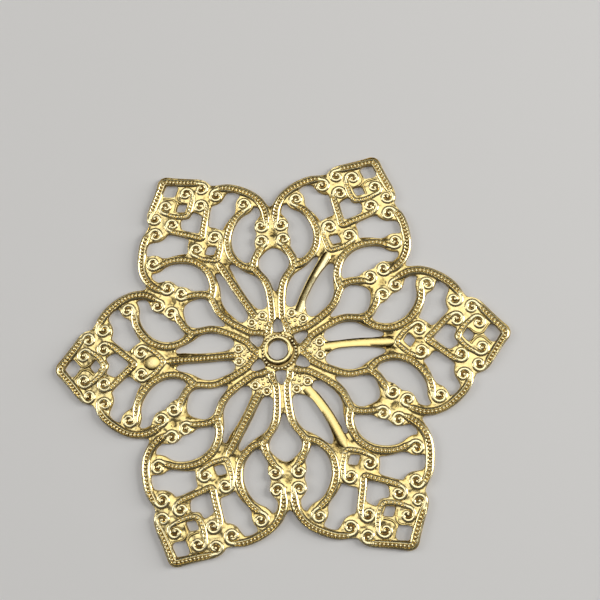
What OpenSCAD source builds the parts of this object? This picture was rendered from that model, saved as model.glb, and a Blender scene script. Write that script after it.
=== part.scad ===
// Filigree flower finding: one stamped and pierced brass sheet with six
// petals, raised rails and scrolls, and a round hole in the middle.
// It lies flat on the plane z = 0 with the middle of the pattern at the origin,
// and one petal points along +X.

/* [Flower] */
// Distance between the tips of opposite petals
tip_span = 60; // [40:1:90]
// Width of the raised rail along the outer rim
rim_rail_w = 0.45; // [0.3:0.05:0.6]
// Distance of that rail from the edge
rim_rail_edge = 0.1; // [0.05:0.05:0.2]

/* [Sheet] */
// Thickness of the sheet between its raised lines
sheet_t = 0.45; // [0.3:0.05:0.8]
// Height of the rails and scrolls above the sheet
relief_h = 0.4; // [0.2:0.05:0.6]

/* [Centre hole] */
// Radius of the round hole in the middle
centre_hole_r = 1.3; // [0.8:0.05:1.5]
// How far the hole was punched off the middle, along +X
centre_hole_x = -0.2; // [-0.3:0.05:0.3]
// How far the hole was punched off the middle, along +Y
centre_hole_y = 0.15; // [-0.3:0.05:0.3]
// Width of the raised collar round the hole
collar_w = 0.9; // [0.6:0.05:1.1]

/* [Smoothness] */
// Length of the straight pieces that a curve is made of
facet = 0.7; // [0.4:0.05:1]

/* [Hidden] */

PETALS = 6;
PETAL_TURN = 360 / PETALS;
GAP_LINE = PETAL_TURN / 2;

// The tables are charted on a flower that measures this much across its tips.
CHART_SPAN = 60;
chart_scale = tip_span / CHART_SPAN;

// Kinds of chart point: the outline bends smoothly through one and turns sharply at the other.
CURVE = 0;
CORNER = 1;

// One side of a petal's rim, from its tip to the notch between two petals: [x, y, kind]
RIM_SIDE = [
    [30.07, 0.00, CURVE], [29.90, 0.60, CURVE], [29.30, 1.27, CURVE], [28.20, 2.58, CURVE],
    [27.30, 3.72, CURVE], [26.75, 4.38, CURVE], [26.10, 4.84, CURVE], [25.10, 5.08, CORNER],
    [24.64, 5.75, CURVE], [24.05, 6.93, CURVE], [23.00, 8.06, CURVE], [21.75, 8.98, CURVE],
    [20.45, 9.62, CURVE], [19.10, 9.97, CURVE], [17.86, 10.00, CURVE], [17.55, 10.13, CURVE]
];

// Leaf-shaped window beside a spoke, the edge away from the spoke: [x, y, kind]
LEAF_OUTER = [
    [6.35, 0.85, CURVE], [5.98, 1.20, CURVE], [5.93, 1.70, CURVE], [6.20, 2.18, CURVE], [7.10, 2.60, CURVE],
    [8.10, 3.02, CURVE], [9.30, 3.20, CURVE], [10.40, 3.00, CURVE], [11.30, 2.44, CURVE],
    [12.30, 1.93, CURVE], [13.40, 1.54, CURVE], [13.80, 1.28, CURVE], [13.78, 0.98, CURVE]
];
// The lip that can be pushed in lies beyond this distance from the petal's middle line.
LEAF_LIP_Y = 1.5;
// The rest of the leaf's edge lies along the spoke, at these distances out from the middle.
SPOKE_XS = [12.8, 11, 9, 7.2];
SPOKE_START = 6;
SPOKE_END = 14;

// On one side the spoke widens towards both ends, by this times the square of the distance from its waist.
SPOKE_FLARE = 0.02;
SPOKE_WAIST = 9;

// Each spoke, counted from the petal on +X: [how far it is bent sideways, its width,
// how far the lip of the leaf window on its left is pushed in]
SPOKES = [
    [0.27, 1.10, 0.05], [0.45, 1.05, 0.15], [0.11, 1.15, 0.45],
    [0.09, 1.25, 0.12], [0.08, 1.35, 0.05], [0.62, 1.20, 0.15]
];

// Crescent window inside the arm that curls out to the rim: [x, y, kind]
CRESCENT = [
    [12.47, 3.47, CORNER], [12.70, 3.02, CURVE], [13.40, 2.66, CURVE], [14.60, 2.47, CURVE],
    [15.80, 2.70, CURVE], [16.85, 3.27, CURVE], [17.75, 4.22, CURVE], [18.38, 5.30, CURVE],
    [18.62, 6.40, CURVE], [18.53, 7.25, CURVE], [18.66, 7.92, CURVE], [18.90, 8.36, CURVE],
    [18.62, 8.64, CURVE], [17.90, 8.60, CURVE], [17.30, 8.33, CORNER], [17.10, 7.72, CURVE],
    [16.62, 6.88, CURVE], [16.05, 6.57, CURVE], [15.43, 6.47, CORNER], [15.08, 6.12, CURVE],
    [14.45, 5.48, CURVE], [13.70, 5.20, CORNER], [13.35, 4.70, CURVE], [12.95, 4.03, CURVE]
];

// Window between the curled arm and the rim: [x, y, kind]
SHOULDER = [
    [18.50, 2.90, CORNER], [18.90, 3.55, CURVE], [19.32, 4.55, CURVE], [19.62, 5.50, CURVE],
    [19.95, 6.02, CORNER], [20.55, 6.30, CURVE], [21.05, 6.84, CURVE], [21.25, 7.38, CURVE],
    [21.55, 7.70, CORNER], [22.15, 7.36, CURVE], [22.85, 6.52, CORNER], [22.68, 5.95, CURVE],
    [22.30, 5.20, CURVE], [22.22, 4.50, CURVE], [22.48, 3.62, CORNER], [22.10, 3.18, CURVE],
    [21.20, 2.40, CURVE], [20.40, 1.76, CURVE], [20.10, 1.66, CURVE], [19.75, 1.94, CURVE],
    [19.35, 2.36, CURVE], [18.85, 2.62, CURVE]
];

// Windows across a petal's own middle line, their upper halves: [x, y, kind]
HEART_HALF = [
    [20.10, 0.00, CORNER], [21.10, 0.98, CURVE], [21.98, 1.68, CORNER], [22.60, 1.42, CURVE],
    [23.18, 1.04, CORNER], [23.12, 0.66, CURVE], [22.88, 0.32, CURVE], [22.78, 0.00, CORNER]
];
EYE_HALF = [
    [23.87, 0.00, CORNER], [24.20, 0.42, CURVE], [24.60, 0.97, CORNER], [25.00, 0.52, CURVE],
    [25.40, 0.00, CORNER]
];
TIP_HOLE_HALF = [
    [26.60, 0.00, CORNER], [27.05, 0.62, CURVE], [27.52, 1.14, CURVE], [27.88, 1.18, CURVE],
    [28.35, 0.62, CURVE], [28.80, 0.00, CORNER]
];
BUD_HALF = [
    [16.23, 0.00, CORNER], [16.58, 0.45, CURVE], [17.00, 0.97, CORNER], [17.42, 0.50, CURVE],
    [17.80, 0.00, CORNER]
];

// The bud hole of this petal was never pierced.
BLIND_BUD_PETAL = 3;

// Windows across the line between two petals, one half of each: [out, across, kind]
HUB_GAP_HALF = [
    [2.58, 0.00, CURVE], [2.60, 0.60, CURVE], [2.85, 0.78, CURVE], [3.25, 0.64, CURVE], [3.75, 0.58, CURVE],
    [4.20, 0.36, CURVE], [4.47, 0.00, CURVE]
];
DROP_HALF = [
    [8.08, 0.00, CURVE], [8.30, 0.20, CURVE], [9.20, 0.52, CURVE], [10.20, 0.98, CURVE],
    [11.20, 1.76, CURVE], [12.05, 2.10, CURVE], [12.85, 1.98, CURVE], [13.50, 1.42, CURVE],
    [14.18, 0.58, CURVE], [14.37, 0.00, CURVE]
];

// Scrolls on one side of a petal: [x, y, radius]
SCROLLS = [
    [3.75, 0.95, 0.55], [5.00, 0.00, 0.50], [14.10, 6.45, 0.85], [15.95, 7.70, 0.85], [18.20, 1.60, 0.85],
    [20.05, 7.45, 0.95], [23.35, 2.40, 0.75], [23.60, 5.10, 0.95], [25.55, 3.85, 0.80], [26.05, 1.75, 0.75]
];
// A scroll's flat top, as a part of its radius
SCROLL_TOP = 0.55;
// How far the raised forms are sunk into the sheet
ROOT = 0.2;
ROUND = 48;

rim_z = sheet_t + relief_h;

function unit(v) = v / norm(v);
function place(row) = chart_scale * [row[0], row[1]];
function flipped(row) = [row[0], -row[1], row[2]];

// Direction of the outline at a curve point b between its neighbours a and c
function heading(a, b, c) =
    let (before = norm(b - a), after = norm(c - b))
    unit((b - a) * after / before + (c - b) * before / after);

// Direction at the other end of an arc that has direction u at one end and chord direction e
function arc_partner(u, e) = 2 * (u * e) * e - u;

// Point a part t of the way along a smooth stretch from a to b, with directions u and v at its ends
function along(a, u, b, v, t) =
    let (size = norm(b - a))
    (2 * pow(t, 3) - 3 * pow(t, 2) + 1) * a + (pow(t, 3) - 2 * pow(t, 2) + t) * size * u
    + (3 * pow(t, 2) - 2 * pow(t, 3)) * b + (pow(t, 3) - pow(t, 2)) * size * v;

// Closed outline through the rows of a chart
function loop(rows) =
    let (n = len(rows))
    [for (i = [0 : n - 1])
        let (
            before = place(rows[(i + n - 1) % n]), here = place(rows[i]),
            there = place(rows[(i + 1) % n]), after = place(rows[(i + 2) % n]),
            chord = unit(there - here),
            bends_here = rows[i][2] == CURVE, bends_there = rows[(i + 1) % n][2] == CURVE,
            heading_here = heading(before, here, there), heading_there = heading(here, there, after),
            leave = bends_here ? heading_here : bends_there ? arc_partner(heading_there, chord) : chord,
            arrive = bends_there ? heading_there : bends_here ? arc_partner(heading_here, chord) : chord,
            pieces = bends_here || bends_there ? ceil(norm(there - here) / facet) : 1
        )
        for (step = [0 : pieces - 1]) along(here, leave, there, arrive, step / pieces)];

// Whole chart of a window from the half that lies on one side of its middle line
function both_halves(rows) = concat(rows, [for (i = [len(rows) - 2 : -1 : 1]) flipped(rows[i])]);

function turned(row, angle) =
    [row[0] * cos(angle) - row[1] * sin(angle), row[0] * sin(angle) + row[1] * cos(angle), row[2]];

// Hump over the length of a spoke: 0 at its ends and 1 halfway along
function hump(x) = sin(180 * (x - SPOKE_START) / (SPOKE_END - SPOKE_START));

// Sideways place of a spoke's middle line, and how much wider than its waist its right side is
function spoke_y(bend, x) = bend * (1 + hump(x)) / 2;
function flare(x) = SPOKE_FLARE * pow(x - SPOKE_WAIST, 2);

// Leaf windows on the left and on the right of a spoke, both charted as if they were on the left
function left_leaf(bend, width, pushed_in) = concat(
    [for (row = LEAF_OUTER) [row[0], row[1] - (row[1] > LEAF_LIP_Y ? pushed_in * hump(row[0]) : 0), row[2]]],
    [for (x = SPOKE_XS) [x, width / 2 + spoke_y(bend, x), CURVE]]
);
function right_leaf(bend, width) = concat(
    LEAF_OUTER,
    [for (x = SPOKE_XS) [x, width / 2 - spoke_y(bend, x) + flare(x), CURVE]]
);

flower_rim = loop([
    for (k = [0 : PETALS - 1]) for (row = concat(
        [for (i = [len(RIM_SIDE) - 1 : -1 : 1]) flipped(RIM_SIDE[i])],
        [for (i = [0 : len(RIM_SIDE) - 2]) RIM_SIDE[i]]
    )) turned(row, k * PETAL_TURN)
]);

module both_sides() {
    children();
    mirror([0, 1, 0]) children();
}

module each_petal() {
    for (k = [0 : PETALS - 1]) rotate(k * PETAL_TURN) children();
}

module leaf_windows() {
    for (k = [0 : PETALS - 1]) rotate(k * PETAL_TURN) {
        polygon(loop(left_leaf(SPOKES[k][0], SPOKES[k][1], SPOKES[k][2])));
        mirror([0, 1, 0]) polygon(loop(right_leaf(SPOKES[k][0], SPOKES[k][1])));
    }
}

module bud_windows() {
    for (k = [0 : PETALS - 1])
        if (k != BLIND_BUD_PETAL)
            rotate(k * PETAL_TURN) polygon(loop(both_halves(BUD_HALF)));
}

module petal_windows() {
    both_sides() {
        polygon(loop(CRESCENT));
        polygon(loop(SHOULDER));
    }
    polygon(loop(both_halves(HEART_HALF)));
    polygon(loop(both_halves(EYE_HALF)));
    polygon(loop(both_halves(TIP_HOLE_HALF)));
}

module gap_line_windows() {
    rotate(GAP_LINE) {
        polygon(loop(both_halves(HUB_GAP_HALF)));
        polygon(loop(both_halves(DROP_HALF)));
    }
}

module pierced_sheet() {
    linear_extrude(sheet_t) difference() {
        polygon(flower_rim);
        each_petal() {
            petal_windows();
            gap_line_windows();
        }
        leaf_windows();
        bud_windows();
    }
}

// Low flat-topped cone that stands for a scroll
module scroll(radius) {
    foot = radius * chart_scale;
    translate([0, 0, sheet_t - ROOT])
        cylinder(h = ROOT + relief_h, r1 = foot, r2 = foot * SCROLL_TOP, $fn = ROUND);
}

module scrolls() {
    each_petal() for (row = SCROLLS) {
        translate(place(row)) scroll(row[2]);
        if (row[1] > 0) translate(place(flipped(row))) scroll(row[2]);
    }
}

// Raised rail that follows the rim just inside its edge
module rim_rail() {
    translate([0, 0, sheet_t - ROOT]) linear_extrude(ROOT + relief_h) difference() {
        offset(delta = -rim_rail_edge) polygon(flower_rim);
        offset(delta = -rim_rail_edge - rim_rail_w) polygon(flower_rim);
    }
}

module collar() {
    translate([centre_hole_x, centre_hole_y, 0])
        cylinder(h = rim_z, r = centre_hole_r + collar_w, $fn = ROUND);
}

module centre_hole() {
    translate([centre_hole_x, centre_hole_y, -1])
        cylinder(h = rim_z + 2, r = centre_hole_r, $fn = ROUND);
}

module filigree_flower() {
    color("gold") difference() {
        union() {
            pierced_sheet();
            rim_rail();
            scrolls();
            collar();
        }
        centre_hole();
    }
}

filigree_flower();
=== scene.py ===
import math

import bmesh
import bpy
from mathutils import Matrix, Vector
from mathutils.bvhtree import BVHTree
from mathutils.kdtree import KDTree


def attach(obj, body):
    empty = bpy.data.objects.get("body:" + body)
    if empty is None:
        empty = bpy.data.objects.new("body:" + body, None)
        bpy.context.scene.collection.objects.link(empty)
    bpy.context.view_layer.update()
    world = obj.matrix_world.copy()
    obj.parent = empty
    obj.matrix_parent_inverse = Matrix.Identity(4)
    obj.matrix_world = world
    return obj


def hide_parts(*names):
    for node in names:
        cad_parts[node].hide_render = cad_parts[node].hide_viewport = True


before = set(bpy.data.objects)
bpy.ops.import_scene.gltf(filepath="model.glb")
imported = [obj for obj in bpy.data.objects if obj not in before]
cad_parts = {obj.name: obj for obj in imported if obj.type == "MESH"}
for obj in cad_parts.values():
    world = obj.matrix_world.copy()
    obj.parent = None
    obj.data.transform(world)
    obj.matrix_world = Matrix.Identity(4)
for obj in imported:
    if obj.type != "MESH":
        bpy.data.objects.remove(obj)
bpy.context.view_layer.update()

# A stamped and pierced filigree flower for jewellery, gold plated.
# Charts and sizes are in millimetres, on a flower that measures 60 mm from tip to tip.
# Petal 0 points along +X, and every ridge is charted for the left half of that petal.
MM = 0.001
PETALS = 6
PETAL_TURN = math.radians(360 / PETALS)
NODE = "filigree_flower"
# Corners closer than this count as one, and so do heights.
NEAR = 0.001
# Edges bent by more than this many degrees are shaded sharp.
SHARP_BEND = 38

# The pierced sheet's thickness, and the upright part of its cut edges
SHEET_TOP = 0.45
CUT_WALL = 0.12
# Each step inwards from the cut edge, and how far it rises. Together they round the edge and end
# a hair below the top.
ROUNDING = ((0.02, 0.14), (0.04, 0.11), (0.06, 0.07), (0.02, 0.0))
# Longer edges of the outline get a corner in their middle, and then its corners are eased.
LONG_EDGE = 0.36
OUTLINE_EASING = 0.35
# Between the ridges the flats are dished. The dish starts at the first distance from a ridge's
# middle line and is full at the second. The flats are split into cells of about this size, in
# this many rounds.
DISH = 0.2
DISH_FROM = 0.45
DISH_TO = 1.05
CELL = 0.5
CELL_ROUNDS = 6

# The pressed relief: how high its ridges are, where they start inside the sheet, and how far
# they stay from the cut edges
RIDGE_TOP = 0.67
RIDGE_ROOT = 0.12
EDGE_LIP = 0.05
# The dies met a little off: the relief lies this far from where the windows were cut.
RELIEF_SHIFT = Vector((0.0, -0.18, 0.0))
# Profiles of a ridge that is 1 mm wide: sideways, and below its crest. The beaded one has a
# channel along its middle for the beads. For another width the profile is scaled both ways.
SMOOTH_PROFILE = ((-0.5, -0.6), (-0.5, -0.26), (-0.43, -0.15), (-0.31, -0.07), (-0.16, -0.015),
                  (0.0, 0.0), (0.16, -0.015), (0.31, -0.07), (0.43, -0.15), (0.5, -0.26),
                  (0.5, -0.6))
BEADED_PROFILE = ((-0.5, -0.6), (-0.5, -0.19), (-0.42, -0.09), (-0.31, -0.02), (-0.24, 0.0),
                  (-0.18, -0.04), (-0.12, -0.14), (0.12, -0.14), (0.18, -0.04), (0.24, 0.0),
                  (0.31, -0.02), (0.42, -0.09), (0.5, -0.19), (0.5, -0.6))
FLAT_PROFILE = ((-0.5, -0.6), (-0.5, -0.16), (-0.44, -0.08), (-0.32, -0.02), (0.0, 0.0),
                (0.32, -0.02), (0.44, -0.08), (0.5, -0.16), (0.5, -0.6))
# The hollow that each ridge leaves in the underside: its depth, its profile for a ridge that is
# 1 mm wide, and how far it stays from the cut edges
HOLLOW_TOP = 0.11
HOLLOW_PROFILE = ((-0.36, -0.4), (-0.31, -0.06), (-0.2, -0.01), (0.2, -0.01), (0.31, -0.06),
                  (0.36, -0.4))
HOLLOW_LIP = 0.14
# The longest piece of a ridge's path is about this long.
STEP = 0.28
# A ridge thinner than this also gets lower.
FADE_WIDTH = 0.42

# The scrolls: path points in a full turn, the ridge's width where a scroll starts and ends, the
# points over which the ridge narrows to it, the radius of the ring, and that of the hook's end.
# The hook starts after this part of the scroll.
COIL_STEPS = 18
COIL_START = 0.70
COIL_END = 0.44
TAPER_POINTS = 4
COIL_R = 0.74
COIL_INNER = 0.2
HOOK_FROM = 0.5
# The disc that is the flat floor inside a scroll
PIT_R = 0.5
PIT_TOP = 0.45
PIT_THICKNESS = 0.1
PIT_SEGMENTS = 12

# The beads of the rails, the knobs in the scrolls and the grains at the hub: the radius, and the
# height of the middle
BEAD = (0.2, 0.63)
KNOB = (0.27, 0.52)
GRAIN = (0.23, 0.46)
BEAD_PITCH = 0.5
# Of two beads whose middles are nearer than this, only the first is made.
BEAD_GAP = 0.26
# A bead is placed where the sheet reaches this part of its radius on all four sides.
BEAD_SEAT = 0.8
BEAD_SEGMENTS = 8
BEAD_RINGS = 4

CLOCKWISE = -1
ANTICLOCKWISE = 1

# Ridges that cross a petal's middle line: [width, points from the middle line outwards,
# middle of the scroll that ends it, turns, sense]
ACROSS_RIDGES = {
    "tip": [1.15, [(29.3, 0.0), (28.6, 1.05), (27.7, 2.2), (26.9, 3.3), (26.2, 4.15)],
            (25.55, 3.85), 1.05, ANTICLOCKWISE],
    "eye": [0.75, [(23.3, 0.0), (23.7, 0.85), (24.4, 1.6), (25.3, 2.25)],
            (26.05, 1.75), 1.1, CLOCKWISE],
    "vee": [0.95, [(19.3, 0.0), (20.3, 0.95), (21.3, 1.85), (22.3, 2.72), (23.0, 3.1)],
            (23.35, 2.4), 1.1, CLOCKWISE],
    "heart": [0.75, [(15.4, 0.0), (16.0, 0.85), (16.8, 1.6), (17.7, 2.1)],
              (18.3, 1.55), 1.1, CLOCKWISE],
}

# Ridges on one side of a petal, with a scroll at one end or at both:
# [width, scroll at the start, points, scroll at the end], a scroll being (middle, turns, sense)
SIDE_RIDGES = {
    "rim": [1.15, ((15.95, 7.7), 1.05, ANTICLOCKWISE),
            [(15.83, 8.38), (16.92, 8.99), (18.1, 9.35), (19.6, 9.3), (20.9, 8.8), (22.0, 8.05),
             (23.1, 7.15), (23.85, 6.2), (24.2, 5.35)],
            ((23.45, 5.0), 1.1, CLOCKWISE)],
    "arc": [1.05, None,
            [(11.4, 3.4), (12.3, 2.55), (13.3, 2.08), (14.6, 1.88), (15.8, 2.1), (17.1, 2.75),
             (18.2, 3.9), (18.95, 5.2), (19.2, 6.3), (19.25, 7.2)],
            ((20.0, 7.4), 1.1, CLOCKWISE)],
    "arm": [1.05, None,
            [(2.9, 0.2), (3.5, 0.7), (4.2, 1.6), (5.5, 2.4), (6.9, 3.1), (8.2, 3.6), (9.3, 3.75),
             (10.5, 3.6), (11.5, 3.55), (12.3, 4.15), (12.9, 5.0), (13.3, 5.8), (13.42, 6.4)],
            ((14.1, 6.45), 1.05, CLOCKWISE)],
}

# Thin lips, without beads: [width, points]. The smooth spokes are as low as the lips.
LIP_TOP = 0.58
LIPS = {
    "cradle": [0.34, [(24.75, 1.05), (25.15, 0.62), (25.6, 0.28), (26.05, 0.18), (26.5, 0.34),
                      (26.95, 0.82), (27.4, 1.35)]],
}

# Small scrolls where the spoke forks at the hub, and the grains between them
HUB_SCROLLS = [(5.35, 0.85), (5.35, -0.85)]
HUB_SCROLL_R = 0.48
HUB_SCROLL_WIDTH = 0.40
HUB_GRAINS = [(3.65, 0.0), (4.15, 0.42), (4.15, -0.42), (4.65, 0.0), (4.62, 0.85), (4.62, -0.85),
              (5.25, 0.0)]

# Each spoke from petal 0 on: how far it is bent sideways, its tilt in degrees, and whether it is
# beaded
SPOKES = ((0.27, 0, False), (0.45, -14, False), (0.11, 0, True), (0.09, 0, True), (0.08, 0, True),
          (0.62, 0, False))
BEADED_SPOKE_WIDTH = 1.15
SMOOTH_SPOKE_WIDTH = 1.5
SPOKE_ENDS = (5.9, 15.0)
# The bend is half as large at these two distances from the middle as halfway between them.
SPOKE_BOW = (6.0, 14.0)
# A spoke narrows to half its width over this many path points at its outer end.
SPOKE_FADE = 2

# The bud hole of this petal was never pierced, and a low swelling is left in its place.
BLIND_BUD_PETAL = 3
BUD_MIDDLE = Vector((16.85, 0.0, 0.43))
BUD_RADII = Vector((1.25, 1.0, 0.17))
BUD_SEGMENTS = 28
BUD_RINGS = 14

# The hub: a raised collar round the hole, which was punched a little off the middle, and a ring
# of grains
HOLE_MIDDLE = Vector((-0.2, 0.15, 0.0))
COLLAR_R = 1.66
COLLAR_WIDTH = 0.7
COLLAR_TOP = 0.6
COLLAR_SEGMENTS = 48
HUB_GRAINS_R = 2.2
HUB_GRAINS_ROUND = 30

# The plating's colours, and where each lies between the recesses, 0, and the crests, 1
# Brown is painted shade in the recesses, and pale gold a painted highlight on the crests.
PAINTED_SHADE_BROWN = (0.12, (0.15, 0.085, 0.022, 1))
GOLD = (0.5, (0.84, 0.65, 0.25, 1))
PAINTED_HIGHLIGHT_GOLD = (0.92, (0.98, 0.86, 0.50, 1))
# The plating's patterns: scale and detail
CLOUDS = (420, 4)
SWELLS = (900, 1)
SWELL_STRENGTH = 1.0
SPECKS = (4200, 3)
SPECK_STRENGTH = 0.4
SPECK_DEPTH = 0.02
# The clouds add up to this much to the brightness, and the sum is divided by the second number.
CLOUD_TINT = 0.35
TINT_RANGE = 1.3
# Roughness of the plating from the glossiest clouds to the dullest
GLOSSIEST = 0.16
DULLEST = 0.34
# The underside, kept out of the painted recess shade: how bright it is, and how far up that fades
UNDERSIDE_LIFT = 0.6
UNDERSIDE_FADE = 0.15
# Plate of each piece: its name, the height below which it is painted shade brown, the height
# above which it is palest as a painted highlight, and the depth of its swells
SHEET_PLATE_AND_PAINTED_LIGHT = ("plated_sheet", 0.22, 0.56, 0.2)
RELIEF_PLATE_AND_PAINTED_LIGHT = ("plated_relief", 0.50, 0.63, 0.02)
BEAD_PLATE_AND_PAINTED_LIGHT = ("plated_beads", 0.48, 0.68, 0.01)

# The photo's viewpoint, about 11 cm above the flower and a little turned
CAMERA_PLACE = Vector((9.74, -23.17, 107.01))
CAMERA_AIM = Vector((3.16, 6.71, 0.0))
CAMERA_ROLL = -17.06
CAMERA_LENS = 50.1
# Soft lamps, in metres and watts: [place, width, depth, power]
LAMPS = {
    "ceiling": [(0.02, 0.16, 0.6), 0.54, 0.46, 1.15],
    "right": [(0.6, 0.05, 0.25), 0.3, 0.4, 3.4],
    "left": [(-0.5, 0.1, 0.3), 0.25, 0.25, 0.8],
}
# Metres from the middle of the floor to its edges
FLOOR_REACH = 2


def turn_of(petal):
    """The turn in the plane that brings petal 0 to another petal."""
    return Matrix.Rotation(petal * PETAL_TURN, 2)


def eased(size, part):
    """The share of a size at a part of the way, with a soft start and end."""
    return size * part * part * (3 - 2 * part)


# Paths of the ridges

def smooth_path(points):
    """Points about a step apart, on a smooth line through the charted points."""
    ends = [2 * points[0] - points[1]] + points + [2 * points[-1] - points[-2]]
    path = []
    for before, here, there, after in zip(ends, ends[1:], ends[2:], ends[3:]):
        pieces = max(1, math.ceil((there - here).length / STEP))
        for i in range(pieces):
            t = i / pieces
            path.append(0.5 * (2 * here + (there - before) * t
                               + (2 * before - 5 * here + 4 * there - after) * t ** 2
                               + (3 * here - before - 3 * there + after) * t ** 3))
    return path + [points[-1]]


def coil_path(start, middle, turns, sense, ring=COIL_R, inner=COIL_INNER):
    """Points of a scroll that closes to its ring in a quarter turn and ends in a hook."""
    middle = Vector(middle)
    arm = start - middle
    steps = round(turns * COIL_STEPS)
    path = []
    for i in range(1, steps + 1):
        closing = max(0, 1 - 4 * i / COIL_STEPS)
        hook = max(0, (i / steps - HOOK_FROM) / (1 - HOOK_FROM))
        radius = ring + (arm.length - ring) * closing
        radius += eased(inner - ring, hook)
        reach = arm.normalized() * radius
        reach.rotate(Matrix.Rotation(sense * 2 * math.pi * turns * i / steps, 2))
        path.append(middle + reach)
    return path


def tapered(rows, coil):
    """A ridge's rows of points and widths, narrowed at their end and led on into a scroll."""
    width = rows[-1][1]
    rows = rows[:]
    for i in range(min(TAPER_POINTS, len(rows))):
        rows[-1 - i] = (rows[-1 - i][0], COIL_START + (width - COIL_START) * i / TAPER_POINTS)
    count = len(coil)
    return rows + [(p, COIL_START + (COIL_END - COIL_START) * (i + 1) / count)
                   for i, p in enumerate(coil)]


def with_widths(body, width, start_coil, end_coil):
    """Path points with the ridge's width at each: full on the body and thinner in the scrolls."""
    rows = [(p, width) for p in body]
    if start_coil:
        rows = tapered(rows[::-1], start_coil)[::-1]
    if end_coil:
        rows = tapered(rows, end_coil)
    return rows


def across_path(width, points, middle, turns, sense):
    """Whole ridge from one scroll over the petal's middle line to the other."""
    half = [Vector(p) for p in points]
    mirrored = [Vector((p.x, -p.y)) for p in half[:0:-1]]
    body = smooth_path(mirrored + half)
    end = coil_path(body[-1], middle, turns, sense)
    start = [Vector((p.x, -p.y)) for p in end]
    return with_widths(body, width, start, end)


def side_path(width, start_scroll, points, end_scroll):
    """Whole ridge on one side of a petal, with its scrolls."""
    body = smooth_path([Vector(p) for p in points])
    start = coil_path(body[0], *start_scroll) if start_scroll else []
    end = coil_path(body[-1], *end_scroll) if end_scroll else []
    return with_widths(body, width, start, end)


def spoke_path(bend, width):
    """A spoke's middle line and widths, bowed sideways between its two forks."""
    length = SPOKE_ENDS[1] - SPOKE_ENDS[0]
    pieces = math.ceil(length / STEP)
    path = []
    for i in range(pieces + 1):
        x = SPOKE_ENDS[0] + length * i / pieces
        bow = math.sin(math.pi * (x - SPOKE_BOW[0]) / (SPOKE_BOW[1] - SPOKE_BOW[0]))
        fade = min(1, 0.5 + (pieces - i) / (2 * SPOKE_FADE))
        path.append((Vector((x, bend * (1 + bow) / 2)), width * fade))
    return path


# Meshes and what is done to them

def placed(name, data):
    """Puts a mesh, curve, light or camera into the scene."""
    thing = bpy.data.objects.new(name, data)
    bpy.context.scene.collection.objects.link(thing)
    return thing


def object_from(bm, name):
    """Turns an edited mesh into an object of its own."""
    mesh = bpy.data.meshes.new(name)
    bm.to_mesh(mesh)
    bm.free()
    return placed(name, mesh)


def seen_mesh(thing):
    """The mesh of a curve, or of a piece with its modifiers."""
    seen = thing.evaluated_get(bpy.context.evaluated_depsgraph_get())
    return bpy.data.meshes.new_from_object(seen)


def forget(piece):
    """Takes a helper out of the scene."""
    bpy.data.objects.remove(piece)


def combined(first, second, operation):
    """The first closed form with the second joined on, cut out or kept in common."""
    step = first.modifiers.new(operation.lower(), "BOOLEAN")
    step.operation = operation
    step.solver = "MANIFOLD"
    step.object = second
    mesh = seen_mesh(first)
    first.modifiers.clear()
    first.data = mesh
    forget(second)
    return first


def joined(forms):
    """Several closed forms made into one."""
    whole = forms[0]
    for form in forms[1:]:
        whole = combined(whole, form, "UNION")
    return whole


def profile_curve(corners):
    """Flat closed outline that a ridge is swept from."""
    curve = bpy.data.curves.new("ridge_profile", "CURVE")
    curve.dimensions = "2D"
    spline = curve.splines.new("POLY")
    spline.points.add(len(corners) - 1)
    for point, (x, y) in zip(spline.points, corners):
        point.co = (x * MM, y * MM, 0, 1)
    spline.use_cyclic_u = True
    return placed("ridge_profile", curve)


def swept_ridge(path, profile, crest=RIDGE_TOP, tilt=0):
    """Closed ridge along a path, with its crest at one height and leaning by its tilt."""
    curve = bpy.data.curves.new("ridge", "CURVE")
    curve.dimensions = "3D"
    curve.twist_mode = "Z_UP"
    spline = curve.splines.new("POLY")
    spline.points.add(len(path) - 1)
    for point, (place, width) in zip(spline.points, path):
        height = SHEET_TOP + (crest - SHEET_TOP) * min(1, width / FADE_WIDTH)
        point.co = (place.x * MM, place.y * MM, height * MM, 1)
        point.radius = width
        point.tilt = math.radians(tilt)
    curve.bevel_mode = "OBJECT"
    curve.bevel_object = profile
    curve.use_fill_caps = True
    piece = placed("ridge", curve)
    bm = bmesh.new()
    bm.from_mesh(seen_mesh(piece))
    forget(piece)
    bmesh.ops.remove_doubles(bm, verts=bm.verts, dist=NEAR * MM)
    bmesh.ops.recalc_face_normals(bm, faces=bm.faces)
    return object_from(bm, "ridge")


def turned_copy(piece, petal):
    """Copy of a form of petal 0, turned to another petal."""
    bm = bmesh.new()
    bm.from_mesh(piece.data)
    turn = Matrix.Rotation(petal * PETAL_TURN, 3, "Z")
    bmesh.ops.rotate(bm, verts=bm.verts, cent=(0, 0, 0), matrix=turn)
    return object_from(bm, piece.name)


# The pierced sheet

def flat_pattern():
    """The pierced pattern as flat faces at z = 0, from the underside of the CAD sheet."""
    bm = bmesh.new()
    bm.from_mesh(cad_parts[NODE].data)
    bmesh.ops.remove_doubles(bm, verts=bm.verts, dist=NEAR * MM)
    # Only the edges round the underside and round its windows are kept.
    upper = [f for f in bm.faces if max(v.co.z for v in f.verts) > NEAR * MM]
    bmesh.ops.delete(bm, geom=upper, context="FACES")
    inner = [e for e in bm.edges if not e.is_boundary]
    bmesh.ops.delete(bm, geom=inner, context="EDGES_FACES")
    # They are eased, and filled with fresh faces that all look up.
    long_edges = [e for e in bm.edges if e.calc_length() > LONG_EDGE * MM]
    bmesh.ops.subdivide_edges(bm, edges=long_edges, cuts=1)
    bmesh.ops.smooth_vert(bm, verts=bm.verts, factor=OUTLINE_EASING, use_axis_x=True,
                          use_axis_y=True)
    bmesh.ops.triangle_fill(bm, use_beauty=True, edges=bm.edges[:])
    bmesh.ops.reverse_faces(bm, faces=[f for f in bm.faces if f.normal.z < 0])
    return bm


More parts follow.
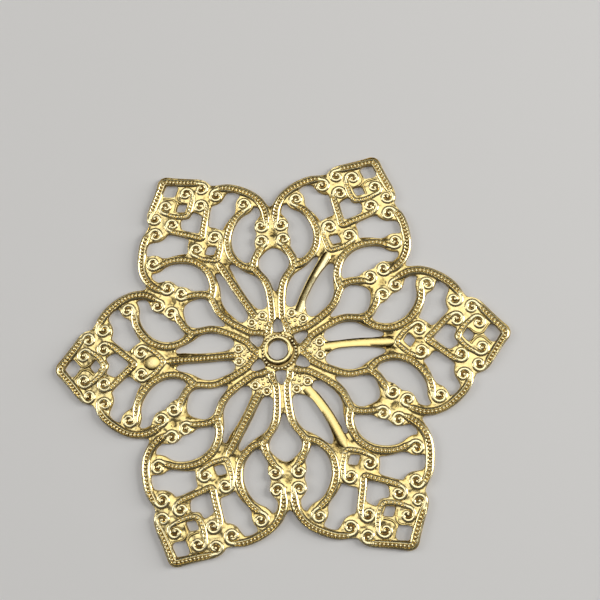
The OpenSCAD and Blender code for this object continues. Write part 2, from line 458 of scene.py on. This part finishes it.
def raised(bm, height):
    """Pulls the flat faces up into a closed plate and returns its top faces."""
    pulled = bmesh.ops.extrude_face_region(bm, geom=bm.faces[:])["geom"]
    tops = [g for g in pulled if isinstance(g, bmesh.types.BMFace)]
    corners = [g for g in pulled if isinstance(g, bmesh.types.BMVert)]
    bmesh.ops.translate(bm, verts=corners, vec=(0, 0, height * MM))
    bmesh.ops.recalc_face_normals(bm, faces=bm.faces)
    return tops


def refined_flats(bm):
    """Splits the flats into small cells, and returns the corners that lie inside them."""
    top = max(v.co.z for v in bm.verts) - NEAR * MM

    def is_flat(face):
        return all(v.co.z > top for v in face.verts)

    for _ in range(CELL_ROUNDS):
        edges = [e for e in bm.edges if e.calc_length() > CELL * MM
                 and len(e.link_faces) == 2 and all(is_flat(f) for f in e.link_faces)]
        if edges:
            bmesh.ops.subdivide_edges(bm, edges=edges, cuts=1)
        bmesh.ops.triangulate(bm, faces=[f for f in bm.faces if len(f.verts) > 4 and is_flat(f)])
    return [v for v in bm.verts if v.co.z > top and all(is_flat(f) for f in v.link_faces)]


def press_flats(bm, paths):
    """Presses the flats down where no ridge holds them up."""
    places = [turn_of(k) @ p + RELIEF_SHIFT.xy for k in range(PETALS)
              for path in paths + [spoke_path(SPOKES[k][0], SMOOTH_SPOKE_WIDTH)] for p, _ in path]
    places += [turn_of(k) @ Vector(g) + RELIEF_SHIFT.xy for k in range(PETALS) for g in HUB_GRAINS]
    tree = KDTree(len(places))
    for i, place in enumerate(places):
        tree.insert((place.x * MM, place.y * MM, 0), i)
    tree.balance()
    for corner in refined_flats(bm):
        away = tree.find((corner.co.x, corner.co.y, 0))[2] / MM
        part = min(1, max(0, (away - DISH_FROM) / (DISH_TO - DISH_FROM)))
        corner.co.z -= eased(DISH * MM, part)


def make_sheet(pattern, paths):
    """The pierced sheet with rounded cut edges and dished flats."""
    bm = pattern.copy()
    tops = raised(bm, CUT_WALL)
    for inwards, rise in ROUNDING:
        bmesh.ops.inset_region(bm, faces=tops, thickness=inwards * MM, depth=rise * MM,
                               use_boundary=True, use_even_offset=True)
    press_flats(bm, paths)
    return object_from(bm, "stamped_sheet")


def make_cutter(pattern, lip, root):
    """Plate that keeps a form a little inside the outline and its windows."""
    bm = pattern.copy()
    trim = bmesh.ops.inset_region(bm, faces=bm.faces[:], thickness=lip * MM,
                                  use_boundary=True, use_even_offset=True)
    bmesh.ops.delete(bm, geom=trim["faces"], context="FACES")
    raised(bm, 2 * SHEET_TOP)
    bmesh.ops.translate(bm, verts=bm.verts, vec=(0, 0, root * MM))
    return object_from(bm, "cutter")


# The relief

def mirrored_path(path):
    """The same path on the petal's other side."""
    return [(Vector((p.x, -p.y)), w) for p, w in path]


def lip_paths():
    """Paths of the thin lips of one petal, both sides."""
    left = [[(p, width) for p in smooth_path([Vector(q) for q in points])]
            for width, points in LIPS.values()]
    return left + [mirrored_path(path) for path in left]


def hub_scroll_paths():
    """Paths of the two ring scrolls where a spoke forks."""
    paths = []
    for x, y in HUB_SCROLLS:
        start = Vector((x - HUB_SCROLL_R, y))
        ring = coil_path(start, (x, y), 1.0, CLOCKWISE, HUB_SCROLL_R, HUB_SCROLL_R)
        paths.append([(p, HUB_SCROLL_WIDTH) for p in [start] + ring])
    return paths


def petal_paths():
    """Paths of every ridge of one petal, both sides."""
    across = [across_path(*row) for row in ACROSS_RIDGES.values()]
    left = [side_path(*row) for row in SIDE_RIDGES.values()]
    right = [mirrored_path(path) for path in left]
    return across + left + right


def make_collar():
    """Smooth raised ring round the centre hole, spun from the ridge's profile."""
    bm = bmesh.new()
    corners = []
    for x, y in SMOOTH_PROFILE:
        out = COLLAR_R + x * COLLAR_WIDTH
        corners.append(bm.verts.new(Vector((out, 0, COLLAR_TOP + y * COLLAR_WIDTH)) * MM))
    ring = bm.faces.new(corners)
    bmesh.ops.spin(bm, geom=ring.verts[:] + ring.edges[:], cent=(0, 0, 0), axis=(0, 0, 1),
                   angle=2 * math.pi, steps=COLLAR_SEGMENTS, use_merge=True)
    bmesh.ops.delete(bm, geom=[ring], context="FACES_ONLY")
    bmesh.ops.remove_doubles(bm, verts=bm.verts, dist=NEAR * MM)
    bmesh.ops.recalc_face_normals(bm, faces=bm.faces)
    bmesh.ops.translate(bm, verts=bm.verts, vec=(HOLE_MIDDLE - RELIEF_SHIFT) * MM)
    return object_from(bm, "collar")


def body_of(path):
    """The part of a ridge that is beaded, between its scrolls."""
    return [row for row in path if row[1] > COIL_START]


def scrolls_of(path):
    """The scrolls at a ridge's ends, each from a little way inside its body."""
    body = body_of(path)
    first = path.index(body[0])
    last = path.index(body[-1])
    return [scroll for scroll in (path[:first + 2], path[last - 1:]) if len(scroll) > 2]


def all_round(petal, spokes):
    """The forms of one petal turned to every petal, each with its own spoke."""
    forms = []
    for k, spoke in enumerate(spokes):
        forms += [turned_copy(petal, k), turned_copy(spoke, k)]
    for helper in [petal] + spokes:
        forget(helper)
    return forms


def shifted_and_trimmed(form, cutter):
    """Moves a form to where the dies pressed it, and keeps it inside the cutter."""
    form.data.transform(Matrix.Translation(RELIEF_SHIFT * MM))
    return combined(form, cutter, "INTERSECT")


def make_spoke(bend, tilt, is_beaded, beaded_profile, flat_profile):
    """Spoke of petal 0: beaded and narrow, or smooth, wide and low."""
    if is_beaded:
        return swept_ridge(spoke_path(bend, BEADED_SPOKE_WIDTH), beaded_profile)
    return swept_ridge(spoke_path(bend, SMOOTH_SPOKE_WIDTH), flat_profile, LIP_TOP, tilt)


def make_relief(paths, cutter):
    """Every ridge, scroll, lip and spoke and the collar, as one closed form."""
    beaded = profile_curve(BEADED_PROFILE)
    smooth = profile_curve(SMOOTH_PROFILE)
    flat = profile_curve(FLAT_PROFILE)
    ridges = [swept_ridge(body_of(path), beaded) for path in paths]
    ridges += [swept_ridge(scroll, smooth) for path in paths for scroll in scrolls_of(path)]
    ridges += [swept_ridge(path, smooth, LIP_TOP) for path in lip_paths()]
    ridges += [swept_ridge(path, smooth) for path in hub_scroll_paths()]
    spokes = [make_spoke(*row, beaded, flat) for row in SPOKES]
    relief = joined([make_collar()] + all_round(joined(ridges), spokes))
    relief = shifted_and_trimmed(relief, cutter)
    relief.name = "pressed_relief"
    for profile in (beaded, smooth, flat):
        forget(profile)
    return relief


def make_hollows(paths, cutter):
    """The grooves that the pressed ridges leave in the underside of the sheet."""
    profile = profile_curve(HOLLOW_PROFILE)
    grooves = [swept_ridge(path, profile, HOLLOW_TOP) for path in paths + hub_scroll_paths()]
    spokes = [swept_ridge(spoke_path(bend, BEADED_SPOKE_WIDTH), profile, HOLLOW_TOP)
              for bend, _, _ in SPOKES]
    forget(profile)
    return shifted_and_trimmed(joined(all_round(joined(grooves), spokes)), cutter)


def make_bud():
    """Smooth low swelling where the bud hole of one petal was never pierced."""
    bm = bmesh.new()
    bmesh.ops.create_uvsphere(bm, u_segments=BUD_SEGMENTS, v_segments=BUD_RINGS, radius=1)
    bmesh.ops.scale(bm, vec=BUD_RADII * MM, verts=bm.verts)
    bmesh.ops.translate(bm, vec=BUD_MIDDLE * MM, verts=bm.verts)
    bmesh.ops.rotate(bm, verts=bm.verts, cent=(0, 0, 0),
                     matrix=Matrix.Rotation(BLIND_BUD_PETAL * PETAL_TURN, 3, "Z"))
    return object_from(bm, "bud")


def make_pit():
    """Floor of the dark pit in the middle of a scroll: real shade, and painted shade by its low
    height.
    """
    bm = bmesh.new()
    bmesh.ops.create_cone(bm, cap_ends=True, segments=PIT_SEGMENTS, radius1=PIT_R * MM,
                          radius2=PIT_R * MM, depth=PIT_THICKNESS * MM)
    bmesh.ops.translate(bm, vec=(0, 0, (PIT_TOP - PIT_THICKNESS / 2) * MM), verts=bm.verts)
    return object_from(bm, "pit")


def add_to(piece, extra, places):
    """Adds the extra form to a piece's mesh at each place."""
    bm = bmesh.new()
    bm.from_mesh(piece.data)
    for place in places:
        copy = extra.data.copy()
        copy.transform(Matrix.Translation(place * MM))
        bm.from_mesh(copy)
        bpy.data.meshes.remove(copy)
    bm.to_mesh(piece.data)
    bm.free()
    forget(extra)


# The bead rows

def bead_places(path):
    """Places of the beads along the body of a ridge."""
    places = []
    left_over = 0.0
    body = body_of(path)
    for (here, _), (there, _) in zip(body, body[1:]):
        length = (there - here).length
        while left_over < length:
            places.append(here.lerp(there, left_over / length))
            left_over += BEAD_PITCH
        left_over -= length
    return places


def scroll_middles():
    """The middles of a petal's scrolls on both sides, and of the two at the hub."""
    middles = [Vector(row[2]) for row in ACROSS_RIDGES.values()]
    for _, start, _, end in SIDE_RIDGES.values():
        middles += [Vector(scroll[0]) for scroll in (start, end) if scroll]
    middles += [Vector((m.x, -m.y)) for m in middles]
    return middles + [Vector(m) for m in HUB_SCROLLS]


def all_bead_places(paths):
    """Every bead as its place and its form."""
    beads = []
    for k in range(PETALS):
        turn = turn_of(k)
        beads += [(turn @ middle, KNOB) for middle in scroll_middles()]
        bend, _, is_beaded = SPOKES[k]
        rows = paths + ([spoke_path(bend, BEADED_SPOKE_WIDTH)] if is_beaded else [])
        beads += [(turn @ p, BEAD) for path in rows for p in bead_places(path)]
        beads += [(turn @ Vector(grain), GRAIN) for grain in HUB_GRAINS]
    for i in range(HUB_GRAINS_ROUND):
        turn = Matrix.Rotation(2 * math.pi * i / HUB_GRAINS_ROUND, 2)
        beads.append((turn @ Vector((HUB_GRAINS_R, 0)), GRAIN))
    return [(place.to_3d() + RELIEF_SHIFT, form) for place, form in beads]


def kept_beads(beads, pattern):
    """Leaves out beads that hang over an edge or lie on a bead already placed."""
    tree = BVHTree.FromBMesh(pattern)
    down = Vector((0, 0, -1))

    def on_metal(point):
        return tree.ray_cast(point * MM + Vector((0, 0, MM)), down)[0] is not None

    kept = []
    # Beads already placed, by the square millimetre that they lie in
    grid = {}
    for place, form in beads:
        seat = form[0] * BEAD_SEAT
        sides = [Vector((seat, 0, 0)), Vector((-seat, 0, 0)), Vector((0, seat, 0)),
                 Vector((0, -seat, 0))]
        if not all(on_metal(place + side) for side in sides):
            continue
        x = math.floor(place.x)
        y = math.floor(place.y)
        near = [other for i in (x - 1, x, x + 1) for j in (y - 1, y, y + 1)
                for other in grid.get((i, j), [])]
        if any((other - place).length < BEAD_GAP for other in near):
            continue
        grid.setdefault((x, y), []).append(place)
        kept.append((place, form))
    return kept


def make_beads(kept):
    """Small balls sunk in the channels of the rails, in the scrolls and round the hub."""
    bm = bmesh.new()
    bmesh.ops.create_uvsphere(bm, u_segments=BEAD_SEGMENTS, v_segments=BEAD_RINGS, radius=1)
    ball = object_from(bm, "ball")
    bm = bmesh.new()
    for place, (radius, height) in kept:
        bead = ball.data.copy()
        bead.transform(Matrix.Translation(Vector((place.x, place.y, height)) * MM)
                       @ Matrix.Scale(radius * MM, 4))
        bm.from_mesh(bead)
        bpy.data.meshes.remove(bead)
    forget(ball)
    return object_from(bm, "bead_rows")


# Plating, with light and shade painted by height

def add_noise(material, place, scale, detail):
    """Cloudy pattern that is fixed to the piece, with about this many clouds to the metre."""
    noise = material.node_tree.nodes.new("ShaderNodeTexNoise")
    noise.inputs["Scale"].default_value = scale
    noise.inputs["Detail"].default_value = detail
    material.node_tree.links.new(place.outputs["Object"], noise.inputs["Vector"])
    return noise


def add_bump(material, noise, strength, depth):
    """Fine unevenness of a depth in millimetres, after a noise pattern."""
    bump = material.node_tree.nodes.new("ShaderNodeBump")
    bump.inputs["Strength"].default_value = strength
    bump.inputs["Distance"].default_value = depth * MM
    material.node_tree.links.new(noise.outputs["Fac"], bump.inputs["Height"])
    return bump


def add_painted_light_by_height(material, place, low, high):
    """How bright the plating is painted by height, as painted light: 0, painted shade, up to the
    low height and 1, painted highlight, from the high one on.

    The underside is kept out of the painted shade.
    """
    nodes = material.node_tree.nodes
    links = material.node_tree.links
    height = nodes.new("ShaderNodeSeparateXYZ")
    links.new(place.outputs["Object"], height.inputs[0])
    # Painted shade up to the low height, painted highlight from the high one on
    raised_parts = nodes.new("ShaderNodeMapRange")
    raised_parts.inputs["From Min"].default_value = low * MM
    raised_parts.inputs["From Max"].default_value = high * MM
    links.new(height.outputs["Z"], raised_parts.inputs["Value"])
    underside = nodes.new("ShaderNodeMapRange")
    underside.inputs["From Max"].default_value = UNDERSIDE_FADE * MM
    underside.inputs["To Min"].default_value = UNDERSIDE_LIFT
    underside.inputs["To Max"].default_value = 0.0
    links.new(height.outputs["Z"], underside.inputs["Value"])
    # The underside is lifted out of the painted shade
    painted_light_level = nodes.new("ShaderNodeMath")
    painted_light_level.operation = "MAXIMUM"
    links.new(raised_parts.outputs["Result"], painted_light_level.inputs[0])
    links.new(underside.outputs["Result"], painted_light_level.inputs[1])
    return painted_light_level


def add_tint(material, painted_light_level, clouds):
    """Painted shade brown low, gold in between, a pale painted highlight on crests; a little
    cloudy.
    """
    nodes = material.node_tree.nodes
    links = material.node_tree.links
    clouded = nodes.new("ShaderNodeMath")
    clouded.operation = "MULTIPLY_ADD"
    clouded.inputs[1].default_value = CLOUD_TINT
    links.new(clouds.outputs["Fac"], clouded.inputs[0])
    links.new(painted_light_level.outputs[0], clouded.inputs[2])
    scaled = nodes.new("ShaderNodeMath")
    scaled.operation = "DIVIDE"
    scaled.inputs[1].default_value = TINT_RANGE
    links.new(clouded.outputs[0], scaled.inputs[0])
    # The ramp paints shade brown in the recesses and a pale highlight on the crests
    ramp = nodes.new("ShaderNodeValToRGB")
    brown, pale = ramp.color_ramp.elements
    brown.position, brown.color = PAINTED_SHADE_BROWN
    pale.position, pale.color = PAINTED_HIGHLIGHT_GOLD
    gold = ramp.color_ramp.elements.new(GOLD[0])
    gold.color = GOLD[1]
    links.new(scaled.outputs[0], ramp.inputs["Fac"])
    return ramp


def gold_plate(name, low, high, swell):
    """Bright gold plate, painted shade brown below the low height and a pale painted highlight
    above the high one.
    """
    material = bpy.data.materials.new(name)
    material.use_nodes = True
    nodes = material.node_tree.nodes
    links = material.node_tree.links
    shader = nodes["Principled BSDF"]
    shader.inputs["Metallic"].default_value = 1.0
    place = nodes.new("ShaderNodeTexCoord")

    clouds = add_noise(material, place, *CLOUDS)
    tint = add_tint(material, add_painted_light_by_height(material, place, low, high), clouds)
    links.new(tint.outputs["Color"], shader.inputs["Base Color"])

    gloss = nodes.new("ShaderNodeMapRange")
    gloss.inputs["To Min"].default_value = GLOSSIEST
    gloss.inputs["To Max"].default_value = DULLEST
    links.new(clouds.outputs["Fac"], gloss.inputs["Value"])
    links.new(gloss.outputs["Result"], shader.inputs["Roughness"])

    swells = add_bump(material, add_noise(material, place, *SWELLS), SWELL_STRENGTH, swell)
    specks = add_bump(material, add_noise(material, place, *SPECKS), SPECK_STRENGTH, SPECK_DEPTH)
    links.new(swells.outputs["Normal"], specks.inputs["Normal"])
    links.new(specks.outputs["Normal"], shader.inputs["Normal"])
    return material


def shade(piece, plate_and_painted_light):
    """Gives a piece its plate with painted light by height, and smooth shading that is sharp only
    at strong bends.
    """
    mesh = piece.data
    # The CAD sheet's own shading normals no longer fit the changed mesh.
    if mesh.has_custom_normals:
        mesh.attributes.remove(mesh.attributes["custom_normal"])
    mesh.update()
    mesh.materials.clear()
    mesh.materials.append(plate_and_painted_light)
    mesh.shade_smooth()
    mesh.set_sharp_from_angle(angle=math.radians(SHARP_BEND))


# Floor, light and camera

def make_floor():
    """Plain pale floor under the flower."""
    bm = bmesh.new()
    bmesh.ops.create_grid(bm, x_segments=1, y_segments=1, size=FLOOR_REACH)
    floor = object_from(bm, "floor")
    material = bpy.data.materials.new("pale_floor")
    material.use_nodes = True
    shader = material.node_tree.nodes["Principled BSDF"]
    shader.inputs["Base Color"].default_value = (0.80, 0.79, 0.77, 1)
    shader.inputs["Roughness"].default_value = 0.85
    floor.data.materials.append(material)


def soft_box(name, place, width, depth, power):
    """Soft rectangular lamp that faces the middle of the flower."""
    light = bpy.data.lights.new(name, "AREA")
    light.shape = "RECTANGLE"
    light.size = width
    light.size_y = depth
    light.energy = power
    lamp = placed(name, light)
    lamp.location = place
    lamp.rotation_euler = Vector(place).to_track_quat("Z", "Y").to_euler()


def make_light():
    """The soft lamps, and a little light from all round."""
    for name, row in LAMPS.items():
        soft_box(name, *row)
    world = bpy.data.worlds.new("studio")
    world.use_nodes = True
    background = world.node_tree.nodes["Background"]
    background.inputs["Color"].default_value = (0.5, 0.48, 0.46, 1)
    background.inputs["Strength"].default_value = 0.15
    bpy.context.scene.world = world
    bpy.context.scene.view_settings.view_transform = "Standard"


def make_camera():
    """The camera at the photo's viewpoint."""
    data = bpy.data.cameras.new("camera")
    data.lens = CAMERA_LENS
    data.sensor_width = 36
    data.clip_start = 0.005
    camera = placed("camera", data)
    look = (CAMERA_AIM - CAMERA_PLACE).to_track_quat("-Z", "Y").to_matrix()
    roll = Matrix.Rotation(math.radians(CAMERA_ROLL), 3, "Z")
    camera.matrix_world = Matrix.Translation(CAMERA_PLACE * MM) @ (look @ roll).to_4x4()
    bpy.context.scene.camera = camera


make_camera()
make_light()
make_floor()

pattern = flat_pattern()
ridge_paths = petal_paths()
sheet = make_sheet(pattern, ridge_paths + lip_paths() + hub_scroll_paths())
hollows = make_hollows(ridge_paths, make_cutter(pattern, HOLLOW_LIP, -SHEET_TOP))
sheet = combined(sheet, hollows, "DIFFERENCE")
relief = make_relief(ridge_paths, make_cutter(pattern, EDGE_LIP, RIDGE_ROOT))
add_to(relief, make_bud(), [RELIEF_SHIFT])
add_to(relief, make_pit(), [(turn_of(k) @ m).to_3d() + RELIEF_SHIFT
                            for k in range(PETALS) for m in scroll_middles()])
beads = make_beads(kept_beads(all_bead_places(ridge_paths), pattern))
pattern.free()

shade(sheet, gold_plate(*SHEET_PLATE_AND_PAINTED_LIGHT))
shade(relief, gold_plate(*RELIEF_PLATE_AND_PAINTED_LIGHT))
shade(beads, gold_plate(*BEAD_PLATE_AND_PAINTED_LIGHT))
for piece in (sheet, relief, beads):
    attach(piece, "root")
    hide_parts(NODE)
